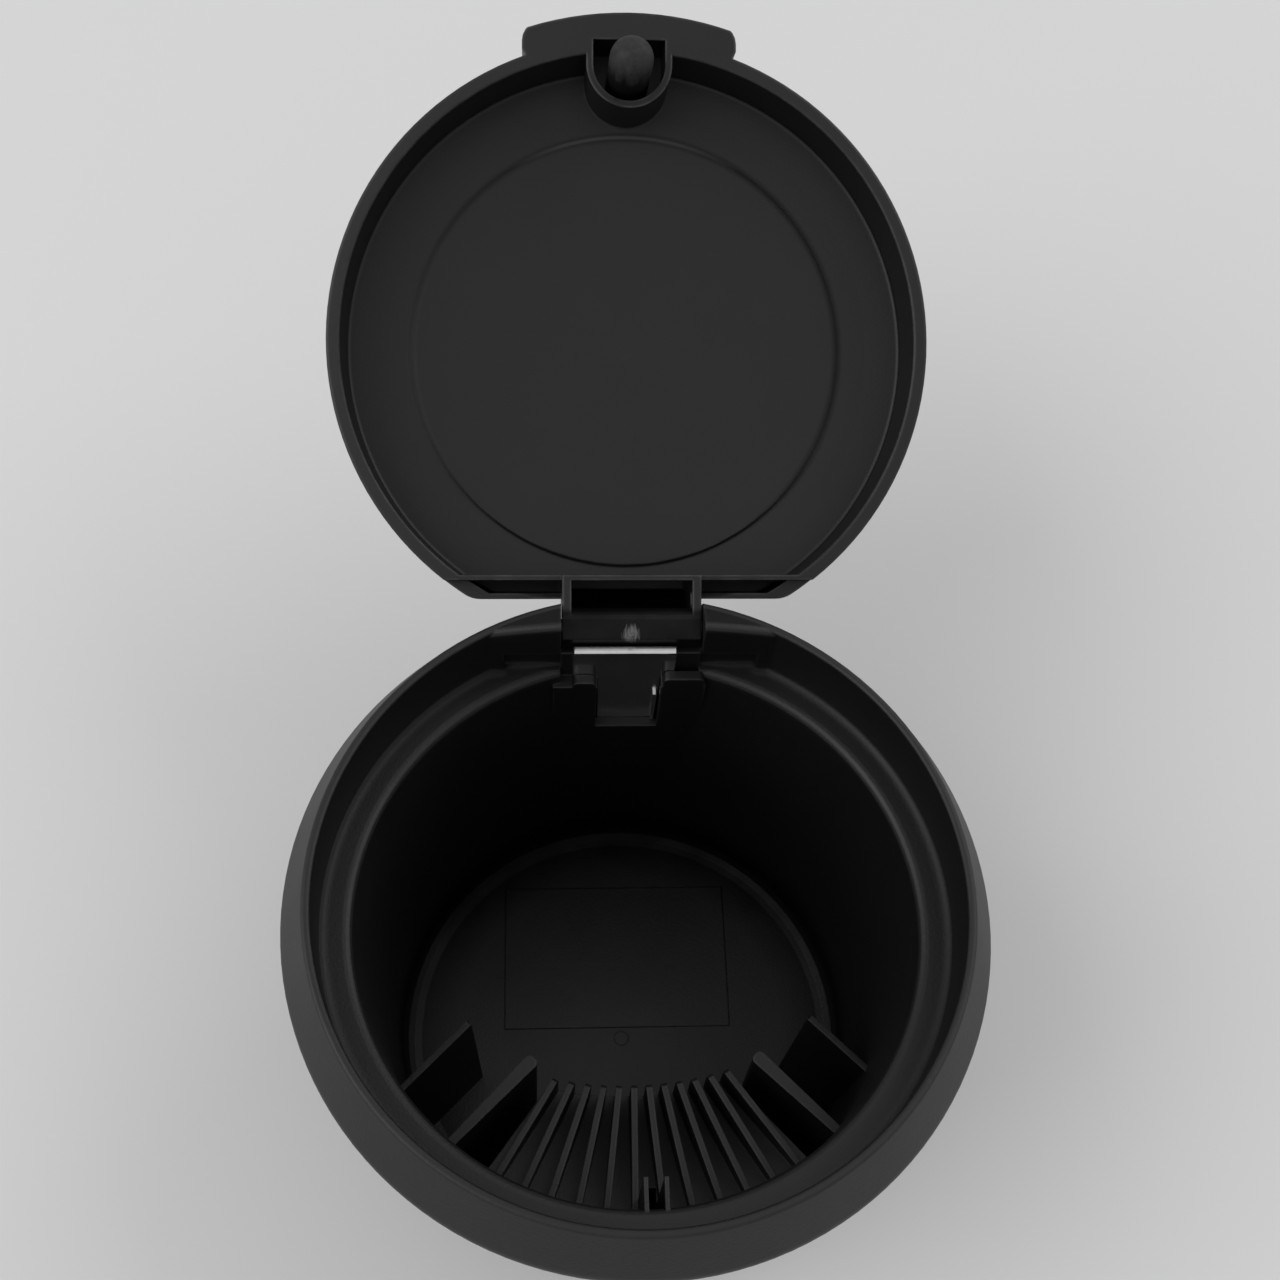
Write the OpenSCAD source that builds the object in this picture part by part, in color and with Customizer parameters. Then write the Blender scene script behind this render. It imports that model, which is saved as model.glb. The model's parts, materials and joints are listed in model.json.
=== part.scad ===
// Cup-holder ashtray: a tapered bowl with a bulged collar, and a domed lid
// that stands open on a sprung hinge at the back.
// Millimetres, +Z up. The origin is on the cup's axis, at the middle of its flat base,
// and -Y is the front, where the lid's thumb tab comes down.

/* [Bowl] */
// Depth of the bowl, from the ledge down to the floor
bowl_depth = 47.2; // [42:0.1:56]
// Radius of the bowl at the ledge
mouth_r = 33.5; // [31:0.1:36]
// How much smaller the bowl's radius is at the floor
bowl_taper = 2.85; // [1:0.05:4]
// Thickness of the moulded walls
wall_t = 2.2; // [1.8:0.1:2.6]
// Thickness of the floor
floor_t = 2.4; // [1.6:0.1:4]
// Rounding of the edge between the ledge and the bowl
mouth_round = 1.2; // [0.4:0.1:1.6]
// Rounding between the floor and the bowl's wall
floor_round = 2.6; // [0.5:0.1:3]
// Rounding of the foot
foot_round = 1.4; // [0.5:0.1:2]

/* [Collar] */
// Width of the ledge that runs round the mouth
ledge_w = 3.8; // [3.4:0.1:5]
// Height of the crest over the ledge
crest_h = 9.4; // [8:0.1:12]
// Width of the crest, from the recess wall to the outer face
crest_w = 0.95; // [0.8:0.05:1.4]
// How far the belly stands out beyond the crest
belly_out = 3.35; // [3:0.05:5]
// Height of the belly over the ledge
belly_h = 2.2; // [1:0.1:4]
// How far the collar's lower lip lies inside the belly
lip_in = 1.7; // [0.5:0.1:2]
// How far the collar hangs below the ledge
lip_drop = 6; // [4:0.5:12]

/* [Hinge platform] */
// Depth of the platform, from its flat front wall to the recess wall's circle
platform_depth = 4.56; // [4.3:0.01:4.9]
// Radius of the platform's domed top
dome_r = 85; // [75:1:110]
// How far inside the crest's outer edge the dome comes down to the crest's height
dome_inset = 0.65; // [0.4:0.05:0.9]
// Rounding of the platform's top front edge
platform_round = 0.8; // [0.3:0.1:1.2]
// Half the width of the notch that the lid's hinge block turns in
notch_half = 8.85; // [8:0.05:9.2]
// Thickness of the cheeks beside the notch
cheek_t = 2.35; // [1.8:0.05:3]
// Depth of the shallow relief in the platform's front wall
relief_t = 1.1; // [0.4:0.1:1.4]
// Height of the relief over the ledge
relief_h = 4.5; // [3:0.1:6]
// Outer half width of the relief
relief_half = 16; // [13:0.1:16.5]

/* [Hinge] */
// Distance of the hinge axis behind the platform's front wall
hinge_back = 3.14; // [3.1:0.01:3.3]
// Depth of the hinge axis below the crest
hinge_drop = 3.48; // [3.3:0.01:3.8]
// Angle that the lid turns from shut to fully open, in degrees
open_angle = 148.5; // [120:0.5:149]
// Diameter of the hinge pin
pin_d = 2; // [1.6:0.1:2.4]
// Clearance round the pin in the cheeks, on the radius
cheek_clearance = 0.02; // [0.01:0.01:0.08]
// Clearance round the pin in the lid's barrel, on the radius
barrel_clearance = 0.05; // [0.02:0.01:0.1]
// Radius of the lid's barrel
barrel_r = 2.45; // [2.2:0.05:2.5]
// Depth of the two flats on the barrel, where the spring holds the lid
flat_cut = 0.2; // [0.1:0.05:0.3]
// Gap between the hinge block and each side of the notch
block_gap = 0.2; // [0.1:0.05:0.5]
// Depth of the flat on the barrel's underside
under_flat_cut = 0.45; // [0.2:0.05:0.5]
// Direction that the flat on the underside faces with the lid shut, in degrees from the back
under_flat_angle = 278.5; // [272:0.5:285]
// How far the hinge block's rims hang below the hinge axis
block_drop = 2; // [1:0.1:2]
// Thickness of the hinge block's side walls
block_side_t = 1.1; // [0.8:0.1:1.4]
// Gap between the open lid's neck and the sill that stops it
stop_gap = 0.3; // [0.1:0.05:0.6]

/* [Spring] */
// Half the width of the flat pocket column on the bowl's back wall
column_half = 9.8; // [9.4:0.1:12]
// How far the column stands forward of the platform's front wall
column_out = 1.34; // [1.2:0.02:2]
// Depth of the column's top below the ledge
column_drop = 2; // [1:0.1:4]
// Half the width of the channel that takes the spring's tongue
channel_half = 4.1; // [3:0.1:5.5]
// Thickness of the spring sheet
spring_t = 0.5; // [0.3:0.05:0.6]
// Gap between the spring and the barrel
spring_gap = 0.13; // [0.05:0.01:0.3]
// Width of the spring's head
head_w = 13.1; // [10:0.1:14]
// Height of the spring's head over the ledge
head_h = 5.4; // [4:0.1:6]
// How far the tongue reaches below the column's top
tongue_len = 13.4; // [8:0.1:20]
// Length of the folded edge on one side of the tongue
fold_len = 7.2; // [3:0.1:8]
// Height of the folded edge over the sheet
fold_h = 0.55; // [0.3:0.05:0.8]
// Height of the right lip over the column's top
right_lip_h = 2; // [1:0.1:2.4]
// Height of the left lip over the column's top
left_lip_h = 1.1; // [0.6:0.1:2]

/* [Stub ramp] */
// How far the fins and the guide ribs sit to the right of the cup's middle
fan_shift = 1.1; // [0:0.1:1.5]
// Number of thin ribs on the ramp
rib_count = 12; // [6:1:14]
// Width of each thin rib
rib_w = 0.75; // [0.6:0.05:1.2]
// Angle between neighbouring ribs, in degrees
rib_pitch = 6.1; // [5:0.1:6.5]
// How far the set of ribs is turned about the cup's axis, in degrees
rib_turn = 2; // [0:0.1:3]
// Distance from the cup's axis to the ramp's front edge, in the middle
ramp_r = 16.7; // [15:0.1:24]
// Radius of the gentle curve of the ramp's front edge
ramp_curve_r = 43; // [30:1:60]
// Depth of the thick fins' tops below the ledge
fin_drop = 12.5; // [8:0.1:16]
// How far the thin ribs' tops lie below the thick fins' tops
rib_step = 0.4; // [0:0.1:1]
// Height of the ribs over the ramp at its front edge
rib_h = 5.5; // [2:0.1:8]
// Height of the ribs over the ramp at the bowl's wall
rib_wall_h = 1.8; // [1:0.1:4]
// Half the angle that the ramp spans, in degrees
ramp_half_angle = 36.6; // [34:0.1:40]
// Angle of the two thick fins from the front, in degrees
fin_angle = 45; // [43:0.5:50]
// Width of the thick fins at their inner end
fin_w = 1.7; // [1.2:0.1:3]
// Distance from the point that the thick fins run towards to their inner ends
fin_r = 18.9; // [17:0.1:22]
// Width of the slot for a cigarette, between a thick fin and the outer fin beside it
rest_w = 9.3; // [7:0.1:9.5]
// Thickness of the outer fins
outer_fin_t = 0.8; // [0.6:0.05:1.4]
// Depth of the outer fins' tops below the ledge
outer_fin_drop = 20; // [16:0.1:26]
// Distance along an outer fin's line at which its inner end stands
outer_fin_start = 19.9; // [17:0.1:24]
// How far the outer fins' inner ends lean back towards their tops
outer_fin_lean = 0.9; // [0:0.1:2]
// Thickness of the two small guide ribs on the front wall
guide_t = 0.5; // [0.4:0.05:0.8]
// Width of the slot between the guide ribs
slot_w = 1.8; // [1.2:0.1:3]
// How far the guide ribs and the slot reach in from the bowl's wall
guide_in = 3.4; // [2:0.1:5]

/* [Floor] */
// Width of the faint raised panel on the floor
panel_w = 32; // [20:0.5:36]
// Distance of the panel's middle from the cup's middle, to the left
panel_shift = 0.5; // [0:0.1:2]
// Distance of the panel's front edge behind the cup's axis
panel_front = 0.4; // [-4:0.1:4]
// Length of the panel from front to back
panel_len = 21; // [10:0.5:22]
// Height of the panel over the floor
panel_h = 0.15; // [0.1:0.05:0.5]
// Distance of the small round moulding mark in front of the cup's axis
gate_front = 1.2; // [0:0.1:4]
// Height of the moulding mark
gate_h = 0.1; // [0.1:0.05:0.4]
// Diameter of the moulding mark
gate_d = 2; // [1:0.5:5]

/* [Lid] */
// Depth of the lid's skirt inside, from the rim to the top plate
skirt_h = 9; // [8.6:0.1:12]
// Thickness of the skirt
skirt_t = 1.75; // [1.6:0.05:2.2]
// Thickness of the top plate
plate_t = 2.2; // [1.6:0.1:3]
// Radius of the lid's domed top
lid_dome_r = 300; // [200:10:600]
// Rounding of the lid's top edge
lid_round = 3; // [1:0.1:4]
// Gap between the shut lid's rim and the crest
rim_gap = 0.1; // [0.05:0.05:0.3]
// Gap between the lid's flat end and the platform's front wall
end_gap = 0.24; // [0.2:0.01:0.3]
// Thickness of the lid's flat end wall
end_t = 0.75; // [0.6:0.05:1.2]
// Rounding of the two corners beside the flat end, seen from above
end_round = 4; // [0.5:0.5:6]
// How far the end wall is cut back from the rim, to clear the platform
end_step = 1.8; // [0.5:0.1:2.4]
// Radius of the shallow raised disc inside the lid
step_r = 28.2; // [25:0.1:29]
// Width of the slope round that disc
step_slope = 0.4; // [0.2:0.1:2]
// How far the disc stands out from the plate
step_t = 0.4; // [0.2:0.05:1]
// Distance of the chord rib in front of the lid's flat end
chord_rib_back = 3.1; // [2:0.1:4]
// Thickness of the chord rib
chord_rib_t = 0.65; // [0.5:0.05:1.2]

/* [Thumb tab] */
// Half the width of the thumb tab
tab_half = 13.5; // [9:0.1:15]
// How far the tab stands out beyond the lid's skirt
tab_out = 3.1; // [1.5:0.1:3.2]
// Thickness of the tab's outer edge
tab_t = 1.3; // [0.8:0.1:2]
// Rounding of the tab's corners
tab_round = 2.4; // [0.6:0.1:3]
// Depth of the small nick where each side of the tab meets the rim
tab_nick = 0.4; // [0.1:0.05:0.8]

/* [Catch peg] */
// Diameter of the catch peg
peg_d = 5.5; // [4.5:0.1:6]
// How far the peg reaches below the lid's rim
peg_drop = 8; // [6:0.1:8.4]
// Gap between the peg and the recess wall
peg_gap = 0.55; // [0.4:0.05:0.8]
// Diameter of the spigot that the peg is pushed over
spigot_d = 2.4; // [1.6:0.1:3]
// Thickness of the pocket's wall round the peg
pocket_t = 0.87; // [0.7:0.01:1.2]
// Gap round the peg inside its pocket
pocket_gap = 1.8; // [1:0.1:2]
// Gap between the peg and the pocket's straight front wall
pocket_front_gap = 1.2; // [0.8:0.1:1.2]
// Depth of the pocket above the lid's rim
pocket_depth = 7.2; // [5:0.1:7.4]
// How far the spigot reaches down into the peg
spigot_len = 5; // [3:0.1:5.5]

/* [Hidden] */
$fn = 96;
black_body = [0.10, 0.10, 0.11];
black_lid = [0.15, 0.15, 0.16];
steel = [0.72, 0.72, 0.74];
rubber = [0.25, 0.25, 0.26];

eps = 0.01;
arc_steps = 4;
far = 100;

ledge_z = floor_t + bowl_depth;
crest_z = ledge_z + crest_h;
belly_z = ledge_z + belly_h;
lip_z = ledge_z - lip_drop;
bowl_floor_r = mouth_r - bowl_taper;
recess_r = mouth_r + ledge_w;
crest_r = recess_r + crest_w;
belly_r = crest_r + belly_out;
lip_r = belly_r - lip_in;
crest_round = crest_w * 0.47;

wall_y = recess_r - platform_depth;
hinge_y = wall_y + hinge_back;
hinge_z = crest_z - hinge_drop;
dome_z = crest_z - sqrt(dome_r * dome_r - pow(crest_r - dome_inset, 2));
cheek_half = notch_half + cheek_t;

block_half = notch_half - block_gap;
spring_y = hinge_y - barrel_r - spring_gap;
column_y = wall_y - column_out;
column_z = ledge_z - column_drop;
channel_z = column_z - tongue_len - 0.6;

rim_z = crest_z + rim_gap;
lid_r = crest_r - 0.05;
lid_end_y = wall_y - end_gap;
plate_z = rim_z + skirt_h;
skirt_in_r = lid_r - skirt_t;
lid_dome_z = plate_z - sqrt(lid_dome_r * lid_dome_r - skirt_in_r * skirt_in_r);
chord_rib_y = lid_end_y - chord_rib_back;
block_foot_z = hinge_z - block_drop;
pocket_bar_y = hinge_y - 1.5;
peg_y = -(recess_r - peg_gap - peg_d / 2);
pocket_half = peg_d / 2 + pocket_gap;
pocket_front_y = peg_y - peg_d / 2 - pocket_front_gap;
pocket_z = rim_z + pocket_depth;

neck_point = [lid_end_y - hinge_y, plate_z + plate_t - 0.6 - hinge_z];
neck_angle = atan2(neck_point.y, neck_point.x) - acos(barrel_r / norm(neck_point));
sill_tilt = neck_angle - open_angle + 90;

fin_top_z = ledge_z - fin_drop;
rib_top_z = fin_top_z - rib_step;
ramp_z = rib_top_z - rib_h;
ramp_wall_z = rib_top_z - rib_wall_h;
ramp_centre_y = ramp_curve_r - ramp_r;
embed = wall_t / 2;

// Radius of the bowl's inner wall at a height
function bowl_r(z) = mouth_r - bowl_taper * (ledge_z - z) / bowl_depth;

// Distance from the cup's axis to the ramp's front edge, at an angle from its middle
function ramp_front(angle) =
  sqrt(pow(ramp_curve_r, 2) - pow(ramp_centre_y * sin(angle), 2)) - ramp_centre_y * cos(angle);

function unit(v) = v / norm(v);

// Points of the arc that rounds the corner b between a and c
function corner(a, b, c, r) =
  let (u = unit(a - b), v = unit(c - b), half = acos(u * v) / 2)
  let (middle = b + unit(u + v) * r / sin(half))
  let (from = b + u * r / tan(half) - middle, to = b + v * r / tan(half) - middle)
  let (start = atan2(from.y, from.x), turn = atan2(to.y, to.x) - start)
  let (sweep = turn > 180 ? turn - 360 : turn < -180 ? turn + 360 : turn)
  [for (i = [0:arc_steps]) let (a = start + sweep * i / arc_steps) middle + r * [cos(a), sin(a)]];

// Outline through [x, y, radius] points, with each corner rounded to its radius
function rounded(p) = let (n = len(p)) [
  for (i = [0:n - 1])
    let (a = p[(i + n - 1) % n], b = p[i], c = p[(i + 1) % n])
    each b.z > 0 ? corner([a.x, a.y], [b.x, b.y], [c.x, c.y], b.z) : [[b.x, b.y]]
];

// Solid of revolution of the cup's outside, filled to its axis, up to a height
module cup_solid(top) {
  top_r = mouth_r + wall_t;
  rotate_extrude()
    polygon([[0, 0], [bowl_floor_r + wall_t, 0], [top_r, ledge_z], [top_r, top], [0, top]]);
}

// Section of the body: foot, cup wall, collar, crest, recess wall, ledge and bowl
module body_section() {
  cup_out_r = bowl_r(lip_z) + wall_t;
  polygon(rounded([
    [0, 0, 0],
    [bowl_floor_r + wall_t, 0, foot_round],
    [cup_out_r, lip_z, 0],
    [lip_r, lip_z, 0.6],
    [belly_r, belly_z, 2.4],
    [crest_r, crest_z, crest_round],
    [recess_r, crest_z, crest_round],
    [recess_r, ledge_z, 0.5],
    [mouth_r, ledge_z, mouth_round],
    [bowl_floor_r, floor_t, floor_round],
    [0, floor_t, 0]
  ]));
}

// Open groove under the collar, between its shell and the cup wall
module collar_groove() {
  top_z = ledge_z - wall_t;
  rotate_extrude()
    polygon([
      [bowl_r(lip_z) + wall_t, lip_z - eps],
      [lip_r - wall_t, lip_z - eps],
      [belly_r - wall_t - 0.35, top_z - 0.8],
      [belly_r - wall_t - 1.1, top_z],
      [mouth_r + wall_t + 0.4, top_z],
      [mouth_r + wall_t, top_z - 0.6]
    ]);
}

// Domed block of the hinge platform, behind its flat front wall with a rounded top edge
module platform() {
  outer_r = recess_r + crest_w / 2;
  low_z = ledge_z - wall_t;
  difference() {
    intersection() {
      rotate_extrude()
        polygon([[30, low_z], [outer_r, low_z], [outer_r, crest_z + far], [30, crest_z + far]]);
      translate([0, 0, dome_z])
        sphere(r = dome_r, $fn = 200);
      translate([-far, wall_y, 0])
        cube([2 * far, far, 2 * far]);
    }
    platform_edge_cut();
  }
}

// Cutter that rounds the top front edge of the platform
module platform_edge_cut() {
  edge_r = sqrt(dome_r * dome_r - wall_y * wall_y);
  edge = [edge_r, wall_y];
  dome_normal = edge / dome_r;
  along_wall = edge - [10, 0];
  along_dome = edge + 10 * [-dome_normal.y, dome_normal.x];
  arc = corner(along_wall, edge, along_dome, platform_round);
  translate([0, 0, dome_z])
    rotate([-90, 0, 0])
      rotate([0, 0, -105])
        rotate_extrude(angle = 30, $fn = 200)
          polygon(concat(arc, [arc[arc_steps] + 2 * dome_normal, edge + [2, -2], arc[0] - [0, 2]]));
}

// Moulding core inside the platform, on both sides of the hinge cheeks
module platform_core() {
  for (side = [-1, 1])
    intersection() {
      rotate_extrude()
        polygon([
          [34, lip_z + 1],
          [lip_r - wall_t, lip_z + 1],
          [belly_r - wall_t - 0.2, belly_z],
          [crest_r - wall_t, crest_z - 1],
          [crest_r - wall_t, crest_z + 5],
          [34, crest_z + 5]
        ]);
      translate([0, 0, dome_z])
        sphere(r = dome_r - wall_t, $fn = 200);
      translate([side > 0 ? cheek_half : -far - cheek_half, wall_y + wall_t, 0])
        cube([far, far, 2 * far]);
    }
}

// Flat column on the bowl's back wall that holds the spring
module spring_column() {
  intersection() {
    cup_solid(column_z);
    translate([-column_half, column_y, floor_t - eps])
      cube([2 * column_half, far, column_z - floor_t + eps]);
  }
}

// Space of the spring's tongue in the column
module spring_channel() {
  translate([-channel_half, column_y - 1, channel_z])
    cube([2 * channel_half, spring_y - column_y + 1, far]);
}

// Bar across the foot of the channel that keeps the tongue in
module channel_bar() {
  translate([-channel_half - 0.5, column_y, channel_z - 0.5])
    cube([2 * channel_half + 1, spring_y - spring_t - 0.05 - column_y, 3.4]);
}

// Lips that stand on the column in front of the spring's shoulders
module spring_lips() {
  lips = [[-7.3, -4.3, left_lip_h], [4.3, 9.6, right_lip_h]];
  for (lip = lips)
    translate([0, spring_y - spring_t - 0.08, 0])
      rotate([90, 0, 0])
        linear_extrude(spring_y - spring_t - 0.08 - column_y)
          polygon(rounded([
            [lip[0], column_z - 1, 0],
            [lip[1], column_z - 1, 0],
            [lip[1], column_z + lip[2], 0.8],
            [lip[0], column_z + lip[2], 0.8]
          ]));
}

// Space of the hinge block: the notch over its sloping sill, the clearance for the shut block's foot,
// and the clearance for the spring's head
module hinge_notch() {
  translate([0, hinge_y, hinge_z])
    rotate([sill_tilt, 0, 0])
      translate([-notch_half, -12, -barrel_r - stop_gap])
        cube([2 * notch_half, 30, 30]);
  translate([-notch_half, spring_y - 1, block_foot_z - stop_gap])
    cube([2 * notch_half, hinge_y - spring_y, far]);
  translate([-notch_half, column_y - 5, column_z])
    cube([2 * notch_half, spring_y - column_y + 5, far]);
}

// Shallow reliefs in the platform's front wall, beside the notch
module reliefs() {
  for (side = [-1, 1])
    translate([side > 0 ? notch_half - eps : -relief_half, wall_y - 1, ledge_z])
      cube([relief_half - notch_half + eps, relief_t + 1, relief_h]);
}

// Thin rib that stands on the ramp, from the ramp's front edge out into the bowl's wall
module ramp_rib(angle) {
  inner_r = ramp_front(angle);
  rotate([0, 0, angle - 90])
    rotate([90, 0, 0])
      translate([0, 0, -rib_w / 2])
        linear_extrude(rib_w)
          polygon([
            [inner_r, ramp_z - eps],
            [inner_r, rib_top_z - 0.4],
            [inner_r + 0.4, rib_top_z],
            [bowl_r(rib_top_z) + embed, rib_top_z],
            [bowl_r(ramp_z) + embed, ramp_z - eps]
          ]);
}

// Sloping ramp under the ribs, which rises towards the bowl's wall, with a gently curved front edge
module ramp() {
  low_r = ramp_r - 2;
  slope = (ramp_wall_z - ramp_z) / (bowl_r(ramp_wall_z) - ramp_r);
  difference() {
    rotate([0, 0, -90 - ramp_half_angle])
      rotate_extrude(angle = 2 * ramp_half_angle)
        polygon([
          [low_r, floor_t - eps],
          [low_r, ramp_z - 2 * slope],
          [bowl_r(ramp_wall_z) + embed, ramp_wall_z + embed * slope],
          [bowl_floor_r + embed, floor_t - eps]
        ]);
    translate([0, ramp_centre_y, floor_t - 1])
      cylinder(r = ramp_curve_r, h = bowl_depth, $fn = 180);
  }
}

// The ramp with its ribs
module ribbed_ramp() {
  rotate([0, 0, rib_turn]) {
    ramp();
    for (i = [0:rib_count - 1])
      ramp_rib((i - (rib_count - 1) / 2) * rib_pitch);
  }
}

// Thick fin with a taper towards the wall
module thick_fin(angle) {
  outer_r = mouth_r + embed;
  rotate([0, 0, angle - 90])
    translate([0, 0, floor_t - eps])
      linear_extrude(fin_top_z - floor_t + eps)
        polygon(rounded([
          [fin_r, -fin_w / 2, fin_w * 0.4],
          [outer_r, -fin_w * 0.3, 0],
          [outer_r, fin_w * 0.3, 0],
          [fin_r, fin_w / 2, fin_w * 0.4]
        ]));
}

// Thin outer fin, parallel to a thick fin and one cigarette's width from it
module outer_fin(side) {
  away = fin_w / 2 + rest_w + outer_fin_t / 2;
  top_z = ledge_z - outer_fin_drop;
  foot = outer_fin_start - outer_fin_lean;
  rotate([0, 0, side * fin_angle - 90])
    translate([0, side * away + outer_fin_t / 2, 0])
      rotate([90, 0, 0])
        linear_extrude(outer_fin_t)
          polygon(rounded([
            [foot, floor_t - eps, 0],
            [outer_fin_start, top_z, 0.4],
            [mouth_r, top_z, 0],
            [mouth_r, floor_t - eps, 0]
          ]));
}

// Small guide ribs on the front wall
module guide_ribs() {
  for (side = [-1, 1])
    translate([side * (slot_w + guide_t) / 2 - guide_t / 2, -mouth_r - embed, ramp_z - eps])
      cube([guide_t, embed + guide_in, ledge_z - 0.3 - ramp_z]);
}

// The ramp with its ribs and fins, kept inside the cup, and the slot between the guide ribs
module fan() {
  intersection() {
    cup_solid(ledge_z);
    difference() {
      union() {
        ribbed_ramp();
        translate([fan_shift, 0, 0]) {
          for (side = [-1, 1]) {
            thick_fin(side * fin_angle);
            outer_fin(side);
          }
          guide_ribs();
        }
      }
      translate([fan_shift - slot_w / 2, 0.1 - bowl_r(ramp_z), ramp_z - 8])
        cube([slot_w, guide_in + 0.6, far]);
    }
  }
}

// Faint raised panel on the floor, and the round moulding mark in front of it
module floor_panel() {
  translate([-panel_w / 2 - panel_shift, panel_front, floor_t - eps])
    cube([panel_w, panel_len, panel_h + eps]);
  translate([0, -gate_front, floor_t - eps])
    cylinder(d = gate_d, h = gate_h + eps, $fn = 32);
}

// The pin's bore is open on the right, where the pin goes in, and blind on the left
module body() {
  color(black_body)
    difference() {
      union() {
        difference() {
          union() {
            rotate_extrude($fn = 120)
              body_section();
            platform();
            spring_column();
          }
          platform_core();
          collar_groove();
          reliefs();
          hinge_notch();
          spring_channel();
        }
        channel_bar();
        spring_lips();
        fan();
        floor_panel();
      }
      translate([-cheek_half, hinge_y, hinge_z])
        rotate([0, 90, 0])
          cylinder(d = pin_d + 2 * cheek_clearance, h = far, $fn = 48);
    }
}

// Section of the lid: skirt, rounded top edge and domed plate
module lid_section() {
  function top(r, up) = lid_dome_z + sqrt(pow(lid_dome_r + up, 2) - r * r);
  slope_out_r = step_r + step_slope / 2;
  slope_in_r = step_r - step_slope / 2;
  polygon(concat(
    [for (r = [0:3:30]) [r, top(r, plate_t)]],
    corner([30, top(30, plate_t)], [lid_r, top(lid_r, plate_t)], [lid_r, rim_z], lid_round),
    corner([lid_r, plate_z], [lid_r, rim_z], [skirt_in_r, rim_z], 0.3),
    corner([lid_r, rim_z], [skirt_in_r, rim_z], [skirt_in_r, plate_z], 0.3),
    corner([skirt_in_r, rim_z], [skirt_in_r, plate_z], [slope_out_r, top(slope_out_r, 0)], 0.4),
    [for (r = [32, slope_out_r]) [r, top(r, 0)]],
    [[slope_in_r, top(slope_in_r, -step_t)]],
    [for (r = [24:-3:0]) [r, top(r, -step_t)]]
  ));
}

// Space in front of the lid's flat end, rounded at the two corners of the lid's outline
module before_end() {
  end_half = sqrt(lid_r * lid_r - lid_end_y * lid_end_y);
  side = [lid_end_y, -end_half] * 60 / lid_r;
  linear_extrude(2 * far)
    polygon(rounded([
      [-far, -far, 0],
      [far, -far, 0],
      [end_half + side.x, lid_end_y + side.y, 0],
      [end_half, lid_end_y, end_round],
      [-end_half, lid_end_y, end_round],
      [-end_half - side.x, lid_end_y + side.y, 0]
    ]));
}

// Space from the lid's rim up into its plate
module lid_bounds() {
  intersection() {
    translate([0, 0, rim_z])
      cylinder(r = lid_r - 0.4, h = far);
    translate([0, 0, lid_dome_z])
      sphere(r = lid_dome_r + plate_t / 2, $fn = 240);
  }
}

// Clearance over the platform, beside the hinge block: the end wall's step and the dome
module dome_clearance() {
  difference() {
    union() {
      translate([-far, chord_rib_y + chord_rib_t, 0])
        cube([2 * far, far, rim_z + end_step]);
      intersection() {
        translate([0, 0, dome_z])
          sphere(r = dome_r + 0.45, $fn = 200);
        translate([-far, lid_end_y - end_t - 0.6, 0])
          cube([2 * far, far, 2 * far]);
      }
    }
    translate([-block_half, 0, 0])
      cube([2 * block_half, far, 2 * far]);
  }
}

// Flat end wall and chord rib of the lid
module lid_end() {
  chord_half = sqrt(skirt_in_r * skirt_in_r - chord_rib_y * chord_rib_y) + 0.5;
  intersection() {
    lid_bounds();
    union() {
      translate([-far, lid_end_y - end_t, 0])
        cube([2 * far, end_t, 2 * far]);
      translate([-chord_half, chord_rib_y, 0])
        cube([2 * chord_half, chord_rib_t, 2 * far]);
    }
  }
}

// Lays a drawing of the lid's side view across the block, from one side to the other
module across_block(half) {
  translate([half, 0, 0])
    rotate([90, 0, -90])
      mirror([1, 0, 0])
        linear_extrude(2 * half)
          children();
}

// The barrel that the hinge pin goes through
module barrel() {
  translate([-block_half, hinge_y, hinge_z])
    rotate([0, 90, 0])
      cylinder(r = barrel_r, h = 2 * block_half);
}

// Hinge block: side walls, front wall, bar and neck wall in one, with the barrel
module hinge_block() {
  hinge_point = [hinge_y, hinge_z];
  neck_foot = hinge_point + barrel_r * [cos(neck_angle), sin(neck_angle)];
  neck_top = hinge_point + neck_point + [-0.2, 0];
  across_block(block_half)
    polygon([
      [chord_rib_y, block_foot_z],
      [pocket_bar_y, block_foot_z],
      [pocket_bar_y + 0.8, block_foot_z],
      hinge_point,
      neck_foot,
      neck_top,
      [chord_rib_y, neck_top.y]
    ]);
  barrel();
}

// The open pocket in the hinge block, in front of the barrel
module block_pocket() {
  pocket_y = chord_rib_y + chord_rib_t;
  difference() {
    across_block(block_half - block_side_t)
      polygon([
        [pocket_y, block_foot_z - 1],
        [pocket_bar_y, block_foot_z - 1],
        [pocket_bar_y, hinge_z + 3.9],
        [lid_end_y + 0.4, plate_z - 2.6],
        [lid_end_y - 1.2, plate_z + 0.2],
        [pocket_y, plate_z + 0.2]
      ]);
    barrel();
  }
}

// Flats on the barrel: two that face the spring when the lid is shut and when it is open,
// and a wider one underneath
module barrel_flats() {
  for (angle = [0, open_angle])
    translate([0, hinge_y, hinge_z])
      rotate([angle, 0, 0])
        translate([-far / 2, -barrel_r - 2 + flat_cut, -1.4])
          cube([far, 2, 2.2]);
  translate([0, hinge_y, hinge_z])
    rotate([under_flat_angle - 270, 0, 0])
      translate([-far / 2, -1.8, -barrel_r - 2 + under_flat_cut])
        cube([far, 3.6, 2]);
}

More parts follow.
